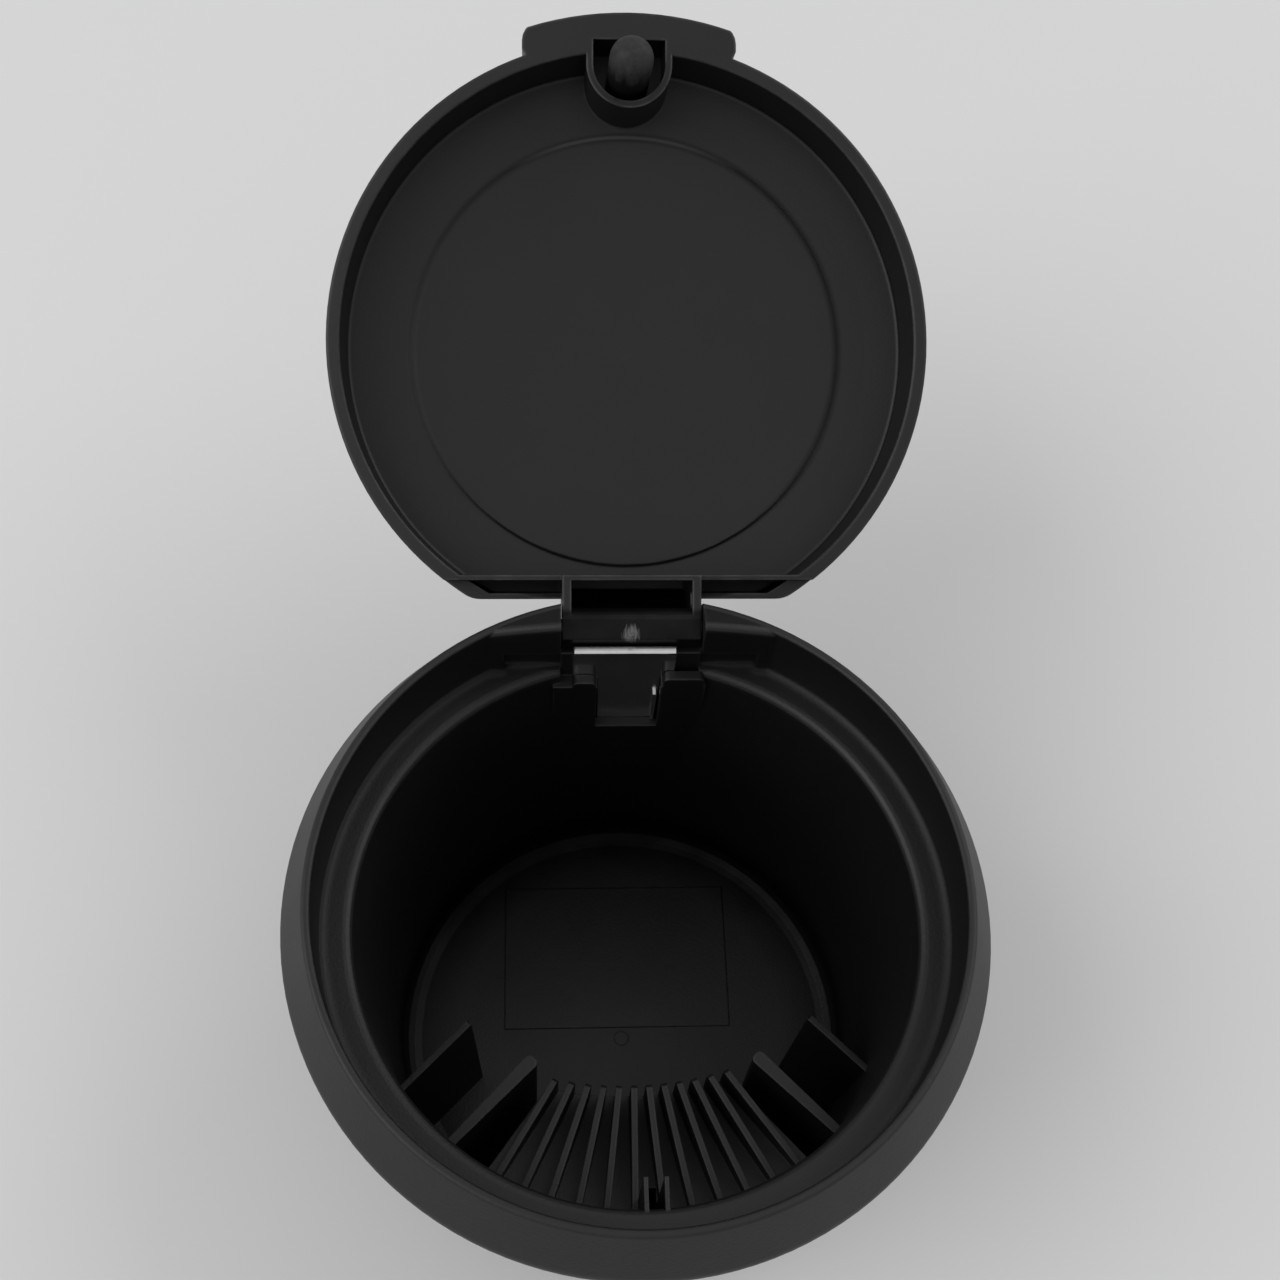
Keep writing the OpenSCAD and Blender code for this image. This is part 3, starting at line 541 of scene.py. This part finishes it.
def torn_nub(name, foot, tilt, width):
    """A low uneven stub of plastic, wider at its foot, standing on a tilted flat."""
    bpy.ops.object.select_all(action="DESELECT")
    bpy.ops.mesh.primitive_cone_add(
        vertices=20, radius1=width / 2, radius2=width / 3, depth=width / 2,
        end_fill_type="TRIFAN", location=foot, rotation=(tilt, 0, 0))
    nub = bpy.context.object
    nub.name = name
    bpy.ops.object.transform_apply(location=True, rotation=True, scale=True)
    rng = random.Random(7)
    for vertex in nub.data.vertices:
        vertex.co += Vector([rng.uniform(-1, 1) for _ in range(3)]) * width * 0.05
    bevel = nub.modifiers.new("soft_edges", "BEVEL")
    bevel.width, bevel.segments = width * 0.06, 2
    bpy.ops.object.modifier_apply(modifier=bevel.name)
    bpy.ops.object.shade_smooth()
    return nub


# Studio

def camera_at(context, stage):
    """A camera on the photograph's line of sight."""
    az, el, roll = stage.azimuth, stage.elevation, stage.roll
    back = Vector((math.sin(az) * math.cos(el), -math.cos(az) * math.cos(el), math.sin(el)))
    right = Vector((math.cos(az), math.sin(az), 0))
    up = back.cross(right)
    turned_right = math.cos(roll) * right + math.sin(roll) * up
    turned_up = math.cos(roll) * up - math.sin(roll) * right
    data = bpy.data.cameras.new("photo_camera")
    data.lens = stage.lens
    data.clip_start, data.clip_end = 0.005, 20
    camera = bpy.data.objects.new("photo_camera", data)
    turn = Matrix((turned_right, turned_up, back)).transposed().to_4x4()
    place = Vector(stage.place) + Vector((0, 0, LEDGE_Z))
    camera.matrix_world = Matrix.Translation(place) @ turn
    context.scene.collection.objects.link(camera)
    context.scene.camera = camera


def floor_under(stage):
    """The pale floor that the bowl stands on."""
    bpy.ops.object.select_all(action="DESELECT")
    bpy.ops.mesh.primitive_circle_add(
        vertices=96, radius=3.0, fill_type="NGON", location=(0, 0, CAD_BOX[0].z))
    floor = bpy.context.object
    floor.name = "studio_floor"
    floor.data.materials.append(pale_matt("pale_floor", stage.floor_colour))


def lamp(context, name, place, size, power):
    """A soft square lamp that looks at the bowl."""
    data = bpy.data.lights.new(name, "AREA")
    data.size, data.energy = size, power
    light = bpy.data.objects.new(name, data)
    turn = (LAMP_AIM - Vector(place)).to_track_quat("-Z", "Y").to_matrix().to_4x4()
    light.matrix_world = Matrix.Translation(Vector(place)) @ turn
    context.scene.collection.objects.link(light)


def room_light(context, strength):
    """Even white light from all round."""
    world = bpy.data.worlds.new("studio_room")
    world.use_nodes = True
    back = world.node_tree.nodes["Background"]
    back.inputs["Color"].default_value = (1, 1, 1, 1)
    back.inputs["Strength"].default_value = strength
    context.scene.world = world


# Settings

class PlasticSettings(bpy.types.PropertyGroup):
    """Finish of the two black mouldings"""
    colour: bpy.props.FloatVectorProperty(
        name="Colour", description="Colour of the black plastic", subtype="COLOR",
        size=3, min=0.0, max=1.0, default=(0.0024, 0.0024, 0.0027))
    body_roughness: bpy.props.FloatProperty(
        name="Bowl Roughness", description="Roughness of the bowl's skin",
        default=0.5, min=0.0, max=1.0, subtype="FACTOR")
    lid_roughness: bpy.props.FloatProperty(
        name="Lid Roughness", description="Roughness of the lid's skin",
        default=0.45, min=0.0, max=1.0, subtype="FACTOR")
    sheen: bpy.props.FloatProperty(
        name="Sheen", description="Strength of the skin's reflection",
        default=0.4, min=0.0, max=1.0, subtype="FACTOR")
    grain_size: bpy.props.FloatProperty(
        name="Grain Size", description="Size of the spark grain left by the mould",
        default=0.00035, min=0.00005, max=0.002, precision=5, unit="LENGTH")
    bowl_edge: bpy.props.FloatProperty(
        name="Bowl Edge Radius", description="How far the bowl's moulded edges look rounded over",
        default=0.0003, min=0.0, max=0.001, precision=5, unit="LENGTH")
    ledge_softness: bpy.props.FloatProperty(
        name="Ledge Corner Radius",
        description="How soft the corner between the ledge and the recess wall looks",
        default=0.0016, min=0.0, max=0.003, precision=5, unit="LENGTH")
    disc_softness: bpy.props.FloatProperty(
        name="Disc Edge Radius",
        description="How soft the far edge of the disc inside the lid looks",
        default=0.0014, min=0.0, max=0.003, precision=5, unit="LENGTH")
    lid_edge: bpy.props.FloatProperty(
        name="Lid Edge Radius", description="How far the lid's moulded edges look rounded over",
        default=0.0004, min=0.0, max=0.001, precision=5, unit="LENGTH")
    # The pale edges' reach: worn edges and painted highlight alike
    wear_reach: bpy.props.FloatProperty(
        name="Wear Reach", description="How far in from an edge the plastic is rubbed",
        default=0.0003, min=0.0, max=0.001, precision=5, unit="LENGTH")
    # The pale edges' colour: worn edges and painted highlight alike
    worn_colour: bpy.props.FloatVectorProperty(
        name="Worn And Highlight Colour", description="Colour of the plastic where an edge is rubbed",
        subtype="COLOR", size=3, min=0.0, max=1.0, default=(0.06, 0.06, 0.061))
    scuff_colour: bpy.props.FloatVectorProperty(
        name="Scuff Colour", description="Colour of the plastic round the torn gate",
        subtype="COLOR", size=3, min=0.0, max=1.0, default=(0.15, 0.15, 0.153))
    # Colour of the painted shade in the bowl and round the hinge barrel
    film_colour: bpy.props.FloatVectorProperty(
        name="Film Colour",
        description="Colour of the soot in the bowl and the grease on the hinge",
        subtype="COLOR", size=3, min=0.0, max=1.0, default=(0.0035, 0.0035, 0.0037))
    tear_shadow: bpy.props.FloatVectorProperty(
        name="Tear Shadow", description="Colour of the torn gate in its hollows",
        subtype="COLOR", size=3, min=0.0, max=1.0, default=(0.012, 0.012, 0.013))
    tear_colour: bpy.props.FloatVectorProperty(
        name="Tear Colour", description="Colour of the torn gate where it's palest",
        subtype="COLOR", size=3, min=0.0, max=1.0, default=(0.16, 0.16, 0.165))
    gate_width: bpy.props.FloatProperty(
        name="Gate Width", description="Width of the torn gate on the hinge barrel",
        default=0.0009, min=0.0002, max=0.002, precision=5, unit="LENGTH")
    gate_side: bpy.props.FloatProperty(
        name="Gate Side", description="Distance of the torn gate from the middle of the hinge",
        default=-0.0001, min=-0.005, max=0.005, precision=5, unit="LENGTH")
    gate_drop: bpy.props.FloatProperty(
        name="Gate Drop", description="Distance of the torn gate below the middle of the flat",
        default=0.0007, min=-0.001, max=0.001, precision=5, unit="LENGTH")


class FittingSettings(bpy.types.PropertyGroup):
    """Finish of the spring, the hinge pin and the catch peg"""
    spring_colour: bpy.props.FloatVectorProperty(
        name="Spring Colour", description="Colour of the bright leaf spring", subtype="COLOR",
        size=3, min=0.0, max=1.0, default=(0.8, 0.8, 0.81))
    pin_colour: bpy.props.FloatVectorProperty(
        name="Pin Colour", description="Colour of the blackened hinge pin", subtype="COLOR",
        size=3, min=0.0, max=1.0, default=(0.05, 0.05, 0.055))
    rubber_colour: bpy.props.FloatVectorProperty(
        name="Rubber Colour", description="Colour of the peg's clean rubber", subtype="COLOR",
        size=3, min=0.0, max=1.0, default=(0.0016, 0.0016, 0.0017))
    # Painted light: the peg's lit tip, mixed from these two colours by a noise
    thin_dust: bpy.props.FloatVectorProperty(
        name="Dim Tip Light", description="Colour of the peg's rubbed tip where the dust is thin",
        subtype="COLOR", size=3, min=0.0, max=1.0, default=(0.014, 0.014, 0.015))
    thick_dust: bpy.props.FloatVectorProperty(
        name="Bright Tip Light", description="Colour of the peg's rubbed tip where the dust is thick",
        subtype="COLOR", size=3, min=0.0, max=1.0, default=(0.04, 0.04, 0.041))


class StageSettings(bpy.types.PropertyGroup):
    """Camera, lamps and floor"""
    azimuth: bpy.props.FloatProperty(
        name="Azimuth", description="How far round the camera stands, from the front",
        default=math.radians(-7.11), subtype="ANGLE")
    elevation: bpy.props.FloatProperty(
        name="Elevation", description="How high the camera looks down from",
        default=math.radians(60.58), subtype="ANGLE")
    roll: bpy.props.FloatProperty(
        name="Roll", description="Turn of the camera about its own line of sight",
        default=math.radians(6.04), subtype="ANGLE")
    place: bpy.props.FloatVectorProperty(
        name="Camera Place", description="Place of the camera, from the middle of the ledge",
        default=(-0.01188, -0.06963, 0.19101), size=3, subtype="TRANSLATION")
    lens: bpy.props.FloatProperty(
        name="Lens", description="Focal length of the camera, in millimetres",
        default=47.81, min=10.0, max=200.0)
    floor_colour: bpy.props.FloatVectorProperty(
        name="Floor Colour", description="Colour of the pale floor", subtype="COLOR",
        size=3, min=0.0, max=1.0, default=(0.59, 0.59, 0.595))
    lamp_size: bpy.props.FloatProperty(
        name="Lamp Size", description="Side of each square lamp",
        default=0.9, min=0.1, max=3.0, unit="LENGTH")
    key_power: bpy.props.FloatProperty(
        name="Key Lamp", description="Power of the lamp on the left, in watts",
        default=7.0, min=0.0)
    fill_power: bpy.props.FloatProperty(
        name="Fill Lamp", description="Power of the lamp on the right, in watts",
        default=5.0, min=0.0)
    world_strength: bpy.props.FloatProperty(
        name="Room Light", description="Strength of the even light from the room",
        default=0.62, min=0.0)


# Operators

class ASHTRAY_OT_mouldings(bpy.types.Operator):
    """Dress the bowl and the lid in black moulded plastic"""
    bl_idname = "ashtray.mouldings"
    bl_label = "Mouldings"

    def execute(self, context):
        plastic = context.scene.ashtray_plastic
        # The bowl gets painted shade inside, the lid gets painted shade round its hinge barrel;
        # both get pale edges, partly worn and partly painted highlight
        bowl = moulded_plastic(
            "bowl_plastic", plastic, roughness=plastic.body_roughness, grain_depth=0.00003,
            edge_radius=plastic.bowl_edge, wear_and_highlight_share=0.3, soft_edges=ledge_corner,
            soft_radius=plastic.ledge_softness, painted_shade=bowl_painted_shade)
        scuff = {"centre": gate_foot(plastic), "turn": (FLAT_TILT, 0, 0),
                 "half_size": (0.0011, 0.0014, 0.001), "streaks": (5.0, 0.7, 1.0)}
        lid = moulded_plastic(
            "lid_plastic", plastic, roughness=plastic.lid_roughness, grain_depth=0.000015,
            edge_radius=plastic.lid_edge, wear_and_highlight_share=1.0, soft_edges=lid_edges,
            soft_radius=plastic.disc_softness, painted_shade=hinge_painted_shade, scuff=scuff)
        dress("body", bowl)
        dress("lid", lid)
        return {"FINISHED"}


class ASHTRAY_OT_metal(bpy.types.Operator):
    """Dress the leaf spring in bright steel and the hinge pin in blackened steel"""
    bl_idname = "ashtray.metal"
    bl_label = "Spring and Pin"

    def execute(self, context):
        fittings = context.scene.ashtray_fittings
        dress("leaf_spring", rolled_steel("spring_steel", fittings.spring_colour,
                                          smoothest=0.17, roughest=0.27))
        dress("hinge_pin", rolled_steel("pin_steel", fittings.pin_colour,
                                        smoothest=0.3, roughest=0.45))
        return {"FINISHED"}


class ASHTRAY_OT_peg(bpy.types.Operator):
    """Dress the catch peg in rubber"""
    bl_idname = "ashtray.peg"
    bl_label = "Catch Peg"

    def execute(self, context):
        low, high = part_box("catch_peg")
        radius = (high.x - low.x) / 2
        along = Vector((0, -math.sin(LID_TILT), math.cos(LID_TILT)))
        # The painted light on the peg is centred on its rounded tip
        tip = Vector((0, low.y + radius, high.z - radius)) + along * radius
        rubber = peg_rubber("peg_rubber", context.scene.ashtray_fittings, tip, LID_TILT)
        dress("catch_peg", rubber)
        return {"FINISHED"}


class ASHTRAY_OT_gate_mark(bpy.types.Operator):
    """Add the torn moulding gate on the flat of the lid's hinge barrel"""
    bl_idname = "ashtray.gate_mark"
    bl_label = "Gate Mark"
    bl_options = {"REGISTER", "UNDO"}

    def execute(self, context):
        plastic = context.scene.ashtray_plastic
        nub = torn_nub("hinge_gate_mark", gate_foot(plastic), FLAT_TILT, plastic.gate_width)
        nub.data.materials.append(torn_plastic("torn_plastic", plastic))
        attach(nub, "lid")
        return {"FINISHED"}


class ASHTRAY_OT_stage(bpy.types.Operator):
    """Set the camera, the lamps and the pale floor"""
    bl_idname = "ashtray.stage"
    bl_label = "Stage"

    def execute(self, context):
        stage = context.scene.ashtray_stage
        camera_at(context, stage)
        floor_under(stage)
        lamp(context, "key_lamp", (-0.8, -0.15, 0.85), stage.lamp_size, stage.key_power)
        lamp(context, "fill_lamp", (0.8, 0.35, 0.85), stage.lamp_size, stage.fill_power)
        room_light(context, stage.world_strength)
        context.scene.view_settings.view_transform = "Standard"
        return {"FINISHED"}


class ASHTRAY_PT_panel(bpy.types.Panel):
    """Lists the steps that dress the ashtray"""
    bl_idname = "ASHTRAY_PT_panel"
    bl_label = "Ashtray"
    bl_space_type = "VIEW_3D"
    bl_region_type = "UI"
    bl_category = "Ashtray"

    def draw(self, context):
        layout = self.layout
        scene = context.scene
        for settings in (scene.ashtray_plastic, scene.ashtray_fittings, scene.ashtray_stage):
            for prop in settings.bl_rna.properties:
                if prop.identifier not in ("rna_type", "name"):
                    layout.prop(settings, prop.identifier)
        for operator in OPERATORS:
            layout.operator(operator.bl_idname)


OPERATORS = (ASHTRAY_OT_mouldings, ASHTRAY_OT_metal, ASHTRAY_OT_peg, ASHTRAY_OT_gate_mark,
             ASHTRAY_OT_stage)
CLASSES = (PlasticSettings, FittingSettings, StageSettings, *OPERATORS, ASHTRAY_PT_panel)


def register():
    for cls in CLASSES:
        bpy.utils.register_class(cls)
    bpy.types.Scene.ashtray_plastic = bpy.props.PointerProperty(type=PlasticSettings)
    bpy.types.Scene.ashtray_fittings = bpy.props.PointerProperty(type=FittingSettings)
    bpy.types.Scene.ashtray_stage = bpy.props.PointerProperty(type=StageSettings)


def unregister():
    del bpy.types.Scene.ashtray_stage
    del bpy.types.Scene.ashtray_fittings
    del bpy.types.Scene.ashtray_plastic
    for cls in reversed(CLASSES):
        bpy.utils.unregister_class(cls)


def main():
    """Registers the add-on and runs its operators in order."""
    register()
    bpy.ops.ashtray.mouldings()
    bpy.ops.ashtray.metal()
    bpy.ops.ashtray.peg()
    bpy.ops.ashtray.gate_mark()
    bpy.ops.ashtray.stage()


if __name__ == "__main__":
    main()
